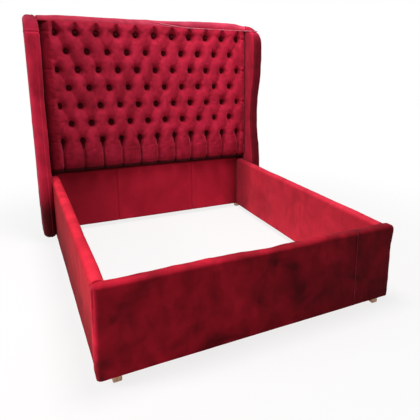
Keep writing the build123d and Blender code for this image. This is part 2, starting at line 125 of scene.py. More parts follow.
# Layers of unevenness: stretch along the axes, scale, seed and height
even = (1, 1, 1)
pad_layers = ((even, 11.0, 1, 0.0030), (even, 31.0, 2, 0.0014))
rail_layers = (
    ((1, 1, 0.5), 3.1, 11, 0.0030), ((0.3, 1, 0.12), 9.0, 12, 0.0018), (even, 22.0, 13, 0.0006),
)
foot_layers = (
    ((1, 1, 0.8), 2.6, 21, 0.0040), ((1, 1, 0.25), 9.0, 22, 0.0026), (even, 24.0, 23, 0.0011),
)
foot_seam_layers = (((0, 0, 1), 8.0, 24, 0.004),)
foot_top_layers = (((1, 0, 0), 3.2, 25, 0.003),)
panel_layers = (((1, 1, 0.6), 4.0, 31, 0.0016), ((1, 1, 0.15), 12.0, 32, 0.0012))
roll_layers = (((1, 0.6, 0.6), 5.0, 41, 0.0022), ((1, 0.2, 0.2), 21.0, 42, 0.0012))
wing_layers = ((even, 4.0, 51, 0.0022), ((0.5, 0.5, 1), 14.0, 52, 0.0013), (even, 27.0, 53, 0.0007))

# All padded covers
long_cell = 0.012
round_cell = 0.006
hem_width = 0.010
seam_width = 0.005
weld_distance = 0.00005
tiny = 1e-9

# Rails
rail_round = 0.026
rail_end_round = 0.014
rail_foot_round = 0.004
rail_puff = 0.0015
rail_puff_limits = (-0.004, 0.006)
rail_top_puff = 0.006
rail_hem_fade = 0.05
rail_top_fade = 0.09

# Footboard
foot_round = 0.022
foot_corner_low = 0.022
foot_corner_high = 0.034
foot_crease_depth = 0.0062
foot_crease_turn = 0.56
foot_crease_spread = 0.16
foot_puff = 0.002
foot_puff_limits = (-0.006, 0.008)
foot_hem_fade = 0.04
foot_end_swell = 0.014
foot_swell_run = 0.08
foot_seam_place = 0.568
foot_piping_radius = 0.0019

# Lower panel
panel_edge = 0.005
panel_front = 0.001
panel_puff_limits = (-0.002, 0.003)
panel_seam_place = 0.330

# Top roll, its seam and the piping on it
roll_front_count = 20
roll_setback = 0.0035
roll_tuck = 0.003
roll_brim = 0.0008
roll_back_round = 0.012
roll_inner_run = 0.030
roll_crown = 0.010
roll_ease_left = 0.16
roll_ease_right = 0.10
roll_end_share = 0.35
seam_drop_left = 0.006
seam_drop_more = 0.031
seam_turn = -0.10
seam_run = 0.45
seam_shown_run = 0.25
seam_puff = 0.0030
seam_puff_start = 0.002
seam_puff_run = 0.012
aslant = (0.3, 0.2, 1.0)
piping_start = 0.06
piping_radius = 0.0028
piping_lead = 0.020
piping_climb = 0.004
piping_inset = 0.001

# Wing outline, as places along the bed and heights
lower_face = lower_low[1]
wing_inner = wing_low[0]
wing_outer = wing_high[0]
wing_reach_low = 0.218
wing_reach_waist = 0.160
wing_reach_high = 0.230
wing_low_height = 0.420
wing_waist_height = 0.925
wing_high_height = 1.400
wing_shoulder_height = 1.530
wing_crown_reach = 0.150
wing_crown_drop = 0.040
wing_foot_round = 0.060

# Wing section, ends and cap; what differs from side to side goes by its sign, -1 for the left
side_words = {-1: "left", 1: "right"}
wing_inner_round = 0.022
wing_outer_round = 0.030
wing_inner_depths = (0.050, 0.036, 0.024)
wing_outer_depths = (0.040, 0.050)
wing_side_depth = 0.02
wing_anchor_inset = 0.05
wing_fan_shares = (0.12, 0.28, 0.46, 0.64, 0.82, 1.0)
welt_width = 0.012
welt_height = 0.0022
wing_end_round = 0.045
wing_end_draw = 0.026
wing_puff = 0.001
wing_puff_limits = (-0.003, 0.004)
wing_back_margin = 0.004
wing_pad_depth = 0.05
cap_seam_height = {-1: 1.575, 1: 1.652}
wing_cap_puff = {-1: 0.002, 1: 0.009}

# The piping's way over the right wing's brow, in shares of the wing's outer round: how far in from
# the wing's inner or outer side, how far behind its brow and how far above its cap's seam
inner_way_shares = ((0, 1, 0.0333), (0.1333, 0.1333, 0), (0.4667, 0, 0))
outer_way_shares = ((1.0667, 0, 0), (0.4, 0.2, 0), (0.0333, 0.7333, 0))

# Depths of the materials' fine relief
pile_wave_depth = 0.004
pile_crush_depth = 0.002
pile_nap_depth = 0.0006
grain_depth = 0.0006
weave_depth = 0.0004
scratch_depth = 0.0003

# Floor and lamps: a lamp has a place, a target, a size, a power and a colour
floor_reach = 60.0
floor_fade_start = 1.2
floor_fade_end = 3.2
lamps = {
    "ceiling_lamp": ((0.1, -0.50, 3.9), (0.1, 0.3, 0.4), 1.3, 108, (1.0, 0.97, 0.96)),
    "window_lamp": ((-4.4, 0.0, 2.2), (0, 0.5, 0.7), 1.4, 118, (1.0, 0.98, 1.0)),
}

# Camera, as the photograph's perspective gives it
camera_place = (-1.0529, -2.9815, 1.4354)
camera_yaw = math.radians(30.404)
camera_pitch = math.radians(-13.156)
camera_roll = math.radians(1.424)
camera_lens = 39.985
camera_shift = (-0.172, -0.1041)


# Small helpers

def wander(points, scale, seed):
    """Smooth noise from about -1 to 1 at each point, with features about 1/scale apart."""
    offset = Vector((seed * 7.31, seed * 3.17, seed * 5.73))
    values = [noise.noise(Vector(point) * scale + offset) for point in points.tolist()]
    return np.array(values) * 1.6


def steps(start, end, cell):
    """Evenly spaced values from start to end, about a cell apart."""
    count = max(int(round(abs(end - start) / cell)), 1)
    return np.linspace(start, end, count + 1)


def graded(start, end, width, fine=round_cell * 0.7):
    """Values from start to end that are fine over a width at both ends and coarser between."""
    first = steps(start, start + width, fine)
    middle = steps(start + width, end - width, long_cell)
    last = steps(end - width, end, fine)
    return np.concatenate([first[:-1], middle, last[1:]])


def with_seam(values, place):
    """The values with a few more close to a seam, and none of the old ones in its way."""
    extra = place + seam_width * np.linspace(-1.5, 1.5, 7)
    kept = values[np.abs(values - place) > seam_width * 2]
    return np.sort(np.concatenate([kept, extra]))


def layered(points, layers):
    """The heights that each layer of unevenness gives the points."""
    return [
        wander(points * np.array(stretch), scale, seed) * height
        for stretch, scale, seed, height in layers
    ]


def raw_piece(name, points, faces):
    """A mesh object just as its points and faces say."""
    mesh = bpy.data.meshes.new(name)
    mesh.from_pydata([tuple(point) for point in points], [], faces)
    piece = bpy.data.objects.new(name, mesh)
    bpy.context.scene.collection.objects.link(piece)
    return piece


def build(name, points, faces):
    """A smooth mesh object with its points welded and its normals facing out."""
    piece = raw_piece(name, points, faces)
    work = bmesh.new()
    work.from_mesh(piece.data)
    bmesh.ops.remove_doubles(work, verts=work.verts, dist=weld_distance)
    bmesh.ops.recalc_face_normals(work, faces=work.faces)
    work.to_mesh(piece.data)
    work.free()
    for polygon in piece.data.polygons:
        polygon.use_smooth = True
    return piece


def band_faces(rows, count, closed=False):
    """Faces between rows of count points each; a closed band joins each row's ends as well."""
    faces = []
    for row in range(rows - 1):
        for k in range(count if closed else count - 1):
            a = row * count + k
            b = row * count + (k + 1) % count
            faces.append((a, a + count, b + count, b))
    return faces


def box_shell(xs, ys, zs, keep):
    """Points and faces of a box's surface on grid lines; keep(centre, axis, far) picks faces."""
    lines = (xs, ys, zs)
    index = {}
    faces = []
    for axis in range(3):
        first, second = [other for other in range(3) if other != axis]
        for side in (0, len(lines[axis]) - 1):
            for i, j in np.ndindex(len(lines[first]) - 1, len(lines[second]) - 1):
                keys = []
                for step_i, step_j in ((0, 0), (1, 0), (1, 1), (0, 1)):
                    key = {axis: side, first: i + step_i, second: j + step_j}
                    keys.append((key[0], key[1], key[2]))
                places = [[lines[n][key[n]] for n in range(3)] for key in keys]
                if keep(np.mean(places, axis=0), axis, side > 0):
                    faces.append([index.setdefault(key, len(index)) for key in keys])
    return np.array([[lines[n][key[n]] for n in range(3)] for key in index]), faces


def rounded(points, low, high, radius, along, share):
    """Moves a box's surface points onto its rounded upper edges, and gives their outward directions.
    The ends are rounded too where along is 1, and not where it is -1."""
    centre = np.clip(
        points, low + radius * np.array((1, along, -1)), high - radius * np.array((1, along, 1)),
    )
    offset = points - centre
    length = np.linalg.norm(offset, axis=1)
    normal = offset / np.maximum(length, tiny)[:, None]
    outside = length > radius
    moved = points.copy()
    moved[outside] = centre[outside] + normal[outside] * radius
    normal[length < radius * share] = 0
    return moved, normal


def soft_step(value):
    """Nought to one, eased at both ends."""
    held = np.clip(value, 0, 1)
    return held * held * (3 - 2 * held)


def ridge(distance, width):
    """One on a line, falling to nothing a few widths away from it."""
    return np.exp(-(distance / width) ** 2)


def swell(distance, place, width, rise):
    """A rise or a groove on a line beside another one."""
    return rise * ridge(distance - place, width)


def quarter(count):
    """Sine and cosine at even steps from nought to a right angle."""
    return [(math.sin(angle), math.cos(angle)) for angle in np.radians(np.linspace(0, 90, count))]


def quarter_round(depth, share):
    """How far a quarter round of a depth has fallen away at a share of its run."""
    return depth * (1 - np.sqrt(1 - np.clip(share, 0, 1) ** 2))


# Materials

white = (1, 1, 1)
upright_shares = (0.85, 0.15)


def new_material(name):
    """A node material, its tree and its shader."""
    material = bpy.data.materials.new(name)
    material.use_nodes = True
    return material, material.node_tree, material.node_tree.nodes["Principled BSDF"]


def set_inputs(tree, node, inputs):
    """Sets a node's inputs: sockets are linked and plain values written."""
    for key, value in inputs.items():
        if isinstance(value, bpy.types.NodeSocket):
            tree.links.new(value, node.inputs[key])
        else:
            node.inputs[key].default_value = value
    return node


def add_node(tree, kind, inputs):
    """A new node with its inputs set."""
    return set_inputs(tree, tree.nodes.new(kind), inputs)


def noise_node(tree, scale, detail, stretch=even, distortion=0.0):
    """Noise in object coordinates, scaled along each axis."""
    place = tree.nodes.new("ShaderNodeTexCoord").outputs["Object"]
    mapping = add_node(tree, "ShaderNodeMapping", {"Vector": place, "Scale": stretch})
    return add_node(tree, "ShaderNodeTexNoise", {
        "Vector": mapping.outputs["Vector"], "Scale": scale, "Detail": detail,
        "Distortion": distortion,
    }).outputs["Fac"]


def ramp_node(tree, source, *stops):
    """A colour ramp on a value, from (place, colour) stops."""
    ramp = add_node(tree, "ShaderNodeValToRGB", {"Fac": source})
    ramp.color_ramp.interpolation = "EASE"
    while len(ramp.color_ramp.elements) < len(stops):
        ramp.color_ramp.elements.new(0.5)
    for element, (place, colour) in zip(ramp.color_ramp.elements, stops):
        element.position = place
        element.color = (*colour, 1)
    return ramp.outputs["Color"]


def multiply(tree, share, first, second):
    """One colour multiplied by another, at a share of its strength."""
    mix = tree.nodes.new("ShaderNodeMix")
    mix.data_type = "RGBA"
    mix.blend_type = "MULTIPLY"
    return set_inputs(tree, mix, {0: share, 6: first, 7: second}).outputs[2]


def bump_node(tree, height, strength, distance, **under):
    """A bump from a height socket, on top of another normal if one is given as Normal."""
    inputs = {"Height": height, "Strength": strength, "Distance": distance, **under}
    return add_node(tree, "ShaderNodeBump", inputs).outputs["Normal"]


def times(tree, first, second):
    """One value multiplied by another."""
    both = add_node(tree, "ShaderNodeMath", {0: first, 1: second})
    both.operation = "MULTIPLY"
    return both.outputs["Value"]


def show(tree, output, first, second, share=1.0):
    """Ends a tree in one shader, with a share of a second where the camera sees it itself."""
    seen = tree.nodes.new("ShaderNodeLightPath").outputs["Is Camera Ray"]
    share = times(tree, seen, share)
    mix = add_node(tree, "ShaderNodeMixShader", {0: share, 1: first, 2: second})
    set_inputs(tree, tree.nodes[output], {"Surface": mix.outputs["Shader"]})


def axis_share(tree, kind, output, axis, start, end):
    """From nought to one as one part of a node's vector goes from a start to an end value."""
    parts = add_node(tree, "ShaderNodeSeparateXYZ", {"Vector": tree.nodes.new(kind).outputs[output]})
    return add_node(tree, "ShaderNodeMapRange", {
        "Value": parts.outputs[axis], "From Min": start, "From Max": end,
    }).outputs["Result"]


def painted_shade(tree, box, by, axis, start, end, tone):
    """Painted shade and light: white that turns to a tone by facing, by place, or by place where faces
    stand upright.
    """
    facing = ("ShaderNodeNewGeometry", "Normal")
    place = ("ShaderNodeTexCoord", "Object")
    if by == "facing":
        share = axis_share(tree, *facing, axis, start, end)
    else:
        low, high = (corner["XYZ".index(axis)] for corner in box)
        start, end = (low + (high - low) * value for value in (start, end))
        share = axis_share(tree, *place, axis, start, end)
    if by == "standing":
        share = times(tree, axis_share(tree, *facing, "Z", *upright_shares), share)
    return ramp_node(tree, share, (0, white), (1, tone))


def make_velvet(name, box, crush_scale, stroke_share, sheen, pile, *painted_shades):
    """Crushed velvet: patches of pile that lie different ways, over a fine nap, under painted shade
    and light.
    """
    deep, middle, bright = pile
    material, tree, shader = new_material(name)
    patches = noise_node(tree, crush_scale, 5, even, 0.7)
    strokes = noise_node(tree, crush_scale * 3.3, 4, (1, 1, 0.55), 0.4)
    nap = noise_node(tree, 900, 2)
    colour = ramp_node(tree, patches, (0.30, deep), (0.50, middle), (0.72, bright))
    brushed = ramp_node(tree, strokes, (0.32, (0.72, 0.66, 0.68)), (0.62, white))
    colour = multiply(tree, stroke_share, colour, brushed)
    flecked = ramp_node(tree, nap, (0.35, (0.80, 0.78, 0.78)), (0.65, white))
    colour = multiply(tree, 0.6, colour, flecked)
    # Painted shade and light, multiplied over the pile's colour
    for row in painted_shades:
        colour = multiply(tree, 1.0, colour, painted_shade(tree, box, *row))
    wave = bump_node(tree, patches, 0.25, pile_wave_depth)
    crush = bump_node(tree, strokes, 0.25, pile_crush_depth, Normal=wave)
    set_inputs(tree, shader, {
        "Base Color": colour, "Roughness": 0.85, "Specular IOR Level": 0.12,
        "Sheen Weight": sheen, "Sheen Roughness": 0.35, "Sheen Tint": (1.0, 0.20, 0.30, 1),
        "Normal": bump_node(tree, nap, 0.35, pile_nap_depth, Normal=crush),
    })
    return material


def make_layered(name, layers, relief, roughness, metallic=0.0):
    """Layers of noise, coloured by stops and multiplied over one another, with a fine relief."""
    material, tree, shader = new_material(name)
    colour = (*white, 1)
    for texture, share, *stops in layers:
        colour = multiply(tree, share, colour, ramp_node(tree, noise_node(tree, *texture), *stops))
    texture, strength, depth = relief
    set_inputs(tree, shader, {
        "Base Color": colour, "Roughness": roughness, "Metallic": metallic,
        "Normal": bump_node(tree, noise_node(tree, *texture), strength, depth),
    })
    return material


def make_wood(name, pale, dark, stretch):
    """Planed softwood: long grain lines and a few broader bands."""
    grain = (60, 6, stretch, 0.6)
    return make_layered(name, (
        (grain, 1.0, (0.36, dark), (0.58, pale)),
        ((14, 3, stretch, 1.2), 0.7, (0.40, (0.82, 0.76, 0.68)), (0.60, white)),
    ), (grain, 0.3, grain_depth), 0.62)


def make_plywood():
    """Sanded plywood: a wild face grain in warm brown."""
    flecks = (240, 3, (1, 1, 0.2))
    browns = ((0.34, (0.34, 0.20, 0.10)), (0.52, (0.47, 0.31, 0.17)), (0.70, (0.58, 0.41, 0.24)))
    return make_layered("birch_plywood", (
        ((22, 6, (1, 1, 0.12), 1.6), 1.0, *browns),
        (flecks, 0.6, (0.34, (0.7, 0.62, 0.5)), (0.46, white)),
    ), (flecks, 0.3, weave_depth), 0.7)


def make_steel(name, tint, roughness):
    """Zinc plated steel with faint clouding and fine scratches."""
    darker = tuple(channel * 0.78 for channel in tint)
    clouds = ((35, 4, even, 0.8), 1.0, (0.35, darker), (0.65, tint))
    scratches = ((420, 2, (1, 1, 0.06)), 0.25, scratch_depth)
    return make_layered(name, (clouds,), scratches, roughness, 1.0)


def make_back_cloth():
    """Plain woven lining cloth, nearly black."""
    material, tree, shader = new_material("lining_cloth")
    warp, weft = [noise_node(tree, 700, 2, stretch) for stretch in ((1, 1, 0.05), (0.05, 1, 1))]
    thread = multiply(tree, 1.0, warp, weft)
    colour = ramp_node(tree, thread, (0.12, (0.012, 0.011, 0.013)), (0.42, (0.055, 0.050, 0.056)))
    cloudy = ramp_node(tree, noise_node(tree, 6, 4), (0.35, (0.75, 0.75, 0.75)), (0.65, white))
    set_inputs(tree, shader, {
        "Base Color": multiply(tree, 0.7, colour, cloudy), "Roughness": 0.9,
        "Specular IOR Level": 0.2, "Normal": bump_node(tree, thread, 0.4, weave_depth),
    })
    return material


# Velvets: the box that their shades go by, crush scale, stroke share, sheen, the pile's three colours,
# and shades by facing or by place in shares of the box: axis, start, end and tone. The shades are
# painted shade and painted light: shade where it falls in hollows, in creases, at edges and low down,
# and upright faces darker than tops, as lit from above; some piles are paler as painted light

# Painted shade on upright faces of the wings and rails, so that their tops read as lit from above; a
# painted shadow low on the wings; tones of the painted shadow under the buttoned pad, and of painted
# shade in creases and on the left wing's cap
wing_upright_painted_shade = ("facing", "Z", *upright_shares, (0.76, 0.58, 0.60))
wing_low_painted_shadow = ("place", "Z", 0.2555, 0.1102, (0.13, 0.06, 0.07))
rail_upright_painted_shade = ("facing", "Z", *upright_shares, (0.78, 0.62, 0.62))
under_pad_shadow_tone = (0.16, 0.08, 0.10)
crease_shade_tone = (0.34, 0.24, 0.28)
left_cap_shade_tone = (0.62, 0.56, 0.60)
pad_box = (pad_low, pad_high)
rail_box = (rail_low, rail_high)
wing_box = (wing_low, wing_high)
# The wings' pile is paler than the pad's as painted light on their tops
wing_pile = ((0.40, 0.012, 0.040), (0.54, 0.017, 0.058), (0.64, 0.024, 0.074))
velvet_shares = {
    "quilted_velvet": (
        pad_box, 7.0, 0.8, 0.38,
        ((0.36, 0.009, 0.030), (0.48, 0.013, 0.044), (0.57, 0.018, 0.059)),
        # painted shade in the pits and pleats, darker the deeper they lie
        ("place", "Y", 0.3333, 0.6444, (0.38, 0.24, 0.28)),
        # painted shade in the crease by the right wing
        ("place", "X", 0.9821, 1.0026, crease_shade_tone),
        # painted shade along the drawn-in left edge
        ("place", "X", 0.0312, 0.0034, (0.42, 0.32, 0.36)),
        # painted shade of the left wing, darker towards the left
        ("place", "X", 0.9520, 0.0480, (0.70, 0.72, 0.72)),
        # painted shade on the lower part
        ("place", "Z", 0.2870, 0.0420, (0.72, 0.62, 0.68)),
        # painted shadow along the bottom edge
        ("place", "Z", 0.0315, 0.0157, under_pad_shadow_tone),
    ),
    "roll_velvet": (
        (roll_low, roll_high), 6.0, 0.5, 0.38,
        # pink pile, paler than the pad's: a painted highlight on the roll's top
        ((0.54, 0.042, 0.090), (0.69, 0.062, 0.122), (0.80, 0.084, 0.156)),
        # painted shade on the upright front
        ("facing", "Z", 0.62, 0.30, (0.66, 0.24, 0.36)),
        # painted shade over all but the right end
        ("place", "X", 0.8736, 0.6808, (0.70, 0.78, 0.76)),
        # less pink towards the left: the painted highlight fades there
        ("place", "X", 0.5603, 0.1686, (0.84, 0.56, 0.62)),
    ),
    "left_wing_velvet": (
        # painted light on the top and painted shadow low down
        wing_box, 5.0, 0.7, 0.38, wing_pile, wing_upright_painted_shade, wing_low_painted_shadow,
        # painted shade on the cap, and more along its top
        ("place", "Z", 0.9122, 0.9486, left_cap_shade_tone),
        ("place", "Z", 0.9818, 0.9988, left_cap_shade_tone),
    ),
    "right_wing_velvet": (
        # painted light on the top and painted shadow low down
        wing_box, 5.0, 0.7, 0.38, wing_pile, wing_upright_painted_shade, wing_low_painted_shadow,
        # painted shade on the front faces
        ("facing", "Y", -0.45, -0.95, (0.36, 0.26, 0.30)),
        # lighter painted shade on the inner face
        ("facing", "X", -0.88, -0.99, (0.84, 0.76, 0.78)),
    ),
    "piping_velvet": (
        pad_box, 12.0, 0.8, 0.38,
        # pale pink pile: a painted highlight along the seam
        ((0.50, 0.15, 0.20), (0.62, 0.22, 0.28), (0.72, 0.30, 0.36)),
    ),
    "foot_piping_velvet": (
        pad_box, 12.0, 0.8, 0.1,
        ((0.20, 0.017, 0.030), (0.26, 0.023, 0.040), (0.32, 0.030, 0.050)),
    ),
    "left_rail_velvet": (
        rail_box, 3.5, 0.45, 0.05,
        # pile paler than the pad's, as painted light
        ((0.57, 0.015, 0.036), (0.75, 0.021, 0.049), (0.87, 0.030, 0.064)),
        # painted light on the top, painted shade on the outer side
        rail_upright_painted_shade, ("facing", "X", -0.30, -0.90, (0.84, 0.68, 0.70)),
        # painted shade on upright faces towards the headboard
        ("standing", "Y", 0.0761, 0.6496, (0.56, 0.42, 0.46)),
        # painted shade on upright faces lower down
        ("standing", "Z", 0.7727, 0.1136, (0.58, 0.44, 0.48)),
        # painted shade at the end by the headboard
        ("place", "Y", 0.9289, 0.9638, (0.44, 0.34, 0.52)),
    ),
    "right_rail_velvet": (
        rail_box, 3.5, 0.45, 0.38,
        # pile paler than the pad's, as painted light
        ((0.52, 0.020, 0.046), (0.68, 0.028, 0.060), (0.80, 0.038, 0.076)),
        # painted light on the top; painted shadow near the headboard
        rail_upright_painted_shade, ("place", "Y", 0.8092, 0.9389, (0.44, 0.26, 0.34)),
        # painted shade in the crease at the headboard end
        ("place", "Y", 0.9813, 0.9948, crease_shade_tone),
    ),
    "footboard_velvet": (
        (foot_low, foot_high), 4.0, 0.95, 0.24,
        ((0.23, 0.004, 0.014), (0.55, 0.009, 0.032), (0.86, 0.018, 0.056)),
        # painted shade on the front faces
        ("facing", "Y", -0.72, -0.97, (0.62, 0.54, 0.54)),
        # painted shade towards the right
        ("place", "X", 0.0509, 0.9491, (0.48, 0.42, 0.42)),
    ),
    "panel_velvet": (
        (lower_low, lower_high), 3.0, 0.3, 0.38,
        ((0.35, 0.007, 0.023), (0.42, 0.009, 0.030), (0.49, 0.012, 0.037)),
        # painted shade towards the left
        ("place", "X", 0.4096, 0.0783, (0.72, 0.70, 0.70)),
        # painted shade in the crease by the right rail
        ("place", "X", 0.8735, 0.9819, (0.34, 0.22, 0.26)),
        # painted shadow under the buttoned pad, along the top
        ("place", "Z", 0.9283, 0.9705, under_pad_shadow_tone),
    ),
    "button_velvet": (
        pad_box, 20.0, 0.8, 0.04,
        # near-black pile: painted shade deep in the pits
        ((0.050, 0.0006, 0.002), (0.068, 0.0008, 0.003), (0.092, 0.001, 0.004)),
    ),
}
velvets = {name: make_velvet(name, *row) for name, row in velvet_shares.items()}


# Buttoned pad

def top_recess(z):
    """How far the headboard's front leans back as it rounds over towards its top."""
    return quarter_round(top_curve_depth, (z - top_curve_start) / (roll_high[2] - top_curve_start))


def pattern(x, z):
    """Where a place lies in the button pattern, as a dictionary of distances and phases."""
    across = (x - pattern_shift) / (column_spacing / 2)
    down = (top_row_height - z) / row_spacing
    held_across = np.clip(across, 1 - button_columns, button_columns - 1)
    held_down = np.clip(down, 0, button_rows - 1)
    rising = (held_across + held_down) / 2
    falling = (held_across - held_down) / 2
    off_rising = rising - np.round(rising)
    off_falling = falling - np.round(falling)
    slant = 0.5 * math.hypot(2 / column_spacing, 1 / row_spacing)
    aside = (off_rising + off_falling) * column_spacing / 2
    along = (off_rising - off_falling) * row_spacing
    even_column = across / 2 - np.round(across / 2)
    full_row = down / 2 - np.round(down / 2)
    near = np.hypot(aside * 1.16, along * 0.86)
    return {
        "pillow": np.sin(np.pi * np.abs(off_rising)) * np.sin(np.pi * np.abs(off_falling)),
        "near": near,
        "lip": (0.90 * along - 0.44 * aside) / np.maximum(near, tiny),
        "to_rising": np.abs(off_rising) / slant,
        "past_falling": off_falling / slant,
        "to_column": np.abs(even_column) * column_spacing,
        "to_row": np.abs(full_row) * row_spacing * 2,
        "beyond": np.abs(across - held_across) * column_spacing / 2,
        "above": np.clip(-down, 0, None) * row_spacing,
        "below": np.clip(down - (button_rows - 1), 0, None) * row_spacing,
    }


def pad_face(x, z):
    """Place along the bed of the buttoned face, with its pleats and drawn-in edges."""
    at = pattern(x, z)
    near = at["near"]
    close = np.exp(-(near / crease_reach) ** 1.5)
    height = crease_rise + (quilt_crown - crease_rise) * at["pillow"] ** 1.3
    height -= crease_depth * ridge(at["to_rising"], crease_radius) * 1.1 * close
    height -= crease_depth * ridge(at["past_falling"], crease_radius) * 1.7 * close
    height += swell(at["past_falling"], *pucker) * close
    uneven = wander(np.stack([x, x * 0, z], axis=1), 9.0, 3)
    to_top_row = soft_step(1 - (top_row_height - z) / (row_spacing / 2))
    reach = pit_radius * (1 + 0.14 * uneven + lip_share * at["lip"] + top_pit_share * to_top_row)
    height *= 1 - np.exp(-(near / reach) ** 2.3)
    height += swell(near, *pit_lip) * np.clip(at["lip"], 0, 1) ** 2

    taper = np.clip(1 - at["above"] / (pad_high[2] - top_row_height), 0, 1)
    wedge = ridge(at["to_column"], fold_width + top_funnel_width * taper ** 0.9) * taper ** 0.50
    over = quilt_crown - pleat_depth * 1.42 * wedge
    room_below = top_row_height - (button_rows - 1) * row_spacing - pad_low[2]
    length = np.clip(at["below"] / room_below, 0, 1)
    inward = 1 - np.clip(at["to_column"] / (column_spacing / 2), 0, 1)
    narrowing = np.clip(1 - length / 0.36, 0, 1)
    run = ridge(at["to_column"], fold_width + funnel_width * narrowing) * (1.25 - 0.55 * length)
    under = quilt_crown - pleat_depth * run - pleat_round_depth * inward ** 1.8
    turn = soft_step(np.maximum(at["above"], at["below"]) / edge_blend)
    height = height * (1 - turn) + np.where(at["above"] > 0, over, under) * turn

    right_share = np.where(x > 0, 1.0, 0.35)
    beside = quilt_crown - side_pleat_depth * right_share * ridge(at["to_row"], side_pleat_width)
    turn = soft_step(at["beyond"] / edge_blend)
    height = height * (1 - turn) + beside * turn

    drawn = np.maximum.reduce([
        depth * np.clip(1 - distance / width, 0, 1) ** power
        for distance, (depth, width), power in (
            (x - pad_low[0], left_draw, 1.4), (pad_high[0] - x, right_draw, 2),
            (z - pad_low[2], low_draw, 1.8),
        )
    ])
    return pit_face - height + drawn + top_recess(z)


def settle(points, faces, held):
    """The points after they swell and crease as cloth under pressure, held where it is sewn down."""
    skin = raw_piece("skin", points, faces)
    group = skin.vertex_groups.new(name="held")
    for index, weight in enumerate(held):
        if weight > 0:
            group.add([index], float(weight), "REPLACE")
    cloth = skin.modifiers.new("cloth", "CLOTH")
    settings = cloth.settings
    settings.quality = 5
    settings.mass = 0.3
    settings.tension_stiffness = 12
    settings.compression_stiffness = 12
    settings.shear_stiffness = 4
    settings.bending_stiffness = 0.8
    settings.use_pressure = True
    settings.uniform_pressure_force = settle_pressure
    settings.shrink_min = settle_slack
    settings.vertex_group_mass = group.name
    settings.effector_weights.gravity = 0
    cloth.collision_settings.use_collision = False
    cloth.point_cache.frame_end = settle_frames
    scene = bpy.context.scene
    for step in range(1, settle_frames + 1):
        scene.frame_set(step)
    settled = skin.evaluated_get(bpy.context.evaluated_depsgraph_get()).to_mesh()
    places = np.empty(len(settled.vertices) * 3)
    settled.vertices.foreach_get("co", places)
    scene.frame_set(1)
    bpy.data.objects.remove(skin)
    return points + np.clip(places.reshape(-1, 3) - points, -settle_cap, settle_cap)


def refined(points, faces):
    """The points and faces after one smooth subdivision."""
    piece = build("skin", points, faces)
    piece.modifiers.new("finer", "SUBSURF").levels = 1
    finer = piece.evaluated_get(bpy.context.evaluated_depsgraph_get()).to_mesh()
    places = [tuple(vertex.co) for vertex in finer.vertices]
    outlines = [tuple(polygon.vertices) for polygon in finer.polygons]
    bpy.data.objects.remove(piece)
    return places, outlines


def rim_of(faces):
    """The border of an open mesh, as one closed run of point numbers."""
    edges = {}
    for outline in faces:
        for edge in zip(outline, outline[1:] + outline[:1]):
            edges[edge] = True
    following = {b: a for a, b in edges if (b, a) not in edges}
    rim = [next(iter(following))]
    while following[rim[-1]] != rim[0]:
        rim.append(following[rim[-1]])
    return rim


def sewn_down(x, z):
    """How firmly the skin is held: at buttons, pleats and borders, and half at the left margin."""
    at = pattern(x, z)
    pleated = (at["above"] > 0) | (at["below"] > 0)
    edge = np.minimum(pad_high[0] - np.abs(x), np.minimum(z - pad_low[2], pad_high[2] - z))
    firm = ~pleated & (at["beyond"] == 0) & (at["near"] < held_radius)
    firm |= (edge < pad_cell * 1.5) | pleated & (at["to_column"] < held_pleat)
    return np.where(firm, 1.0, np.where(x - pad_low[0] < half_held_margin, 0.5, 0.0))


def make_tufted_pad():
    """The buttoned pad as one quilted skin, closed round its sides and back."""
    xs = steps(pad_low[0], pad_high[0], pad_cell)
    zs = steps(pad_low[2], pad_high[2], pad_cell)
    x, z = [grid.ravel() for grid in np.meshgrid(xs, zs, indexing="ij")]
    front = pad_face(x, z)
    loose = sum(layered(np.stack([x, x * 0, z], axis=1), pad_layers))
    standing = np.clip((pit_face - front) / quilt_crown, 0, 1)
    points = np.stack([x, front - loose * standing ** 2, z], axis=1)
    faces = band_faces(len(xs), len(zs))
    points = settle(points, faces, sewn_down(x, z))

    points, faces = refined(points, faces)
    rim = rim_of(faces)
    previous = rim
    for share in (0.35, 0.7, 1.0):
        ring = list(range(len(points), len(points) + len(rim)))
        for index in rim:
            x, y, z = points[index]
            points.append((x, y + (pad_high[1] - y) * share, z))
        for k, below in enumerate(previous):
            faces.append((below, previous[k - len(rim) + 1], ring[k - len(rim) + 1], ring[k]))
        previous = ring
    faces.append(tuple(previous))
    finish_soft(build("tufted_pad", points, faces), "headboard_tufted_pad", "quilted_velvet")


def button_places():
    """Middle of each button: full rows of columns, and rows of one fewer between them."""
    places = []
    for row in range(button_rows):
        count = button_columns - row % 2
        for column in range(count):
            x = pattern_shift + (column - (count - 1) / 2) * column_spacing
            places.append((x, top_row_height - row * row_spacing))
    return places


def make_buttons():
    """Covered buttons: domes with a turned-under rim, each cut a little differently."""
    profile_shares = (
        (0.35, 0.96), (0.62, 0.82), (0.84, 0.58), (0.97, 0.28), (1.00, 0.08), (0.93, 0.00),
        (0.62, -button_skirt / button_dome),
    )
    around = 20
    points = []
    faces = []
    for number, (x, z) in enumerate(button_places()):
        lean = noise.noise(Vector((x * 9, z * 9, 2.0))) * 0.12
        centre = len(points)
        points.append((x, button_seat - button_dome, z))
        for reach, rise in profile_shares:
            for k in range(around):
                angle = math.tau * k / around
                across = math.cos(angle) * reach * button_radius
                up = math.sin(angle) * reach * button_radius
                puck = 1 + 0.03 * math.sin(angle * 5 + number)
                depth = button_seat - rise * button_dome + up * lean
                points.append((x + across * puck, depth, z + up * puck))
        first = centre + 1
        faces += [(centre, first + k, first + (k + 1) % around) for k in range(around)]
        for face in band_faces(len(profile_shares), around, True):
            faces.append([first + index for index in face])
        faces.append(range(len(points) - around, len(points)))
    finish_soft(build("covered_buttons", points, faces), "tuft_buttons", "button_velvet")


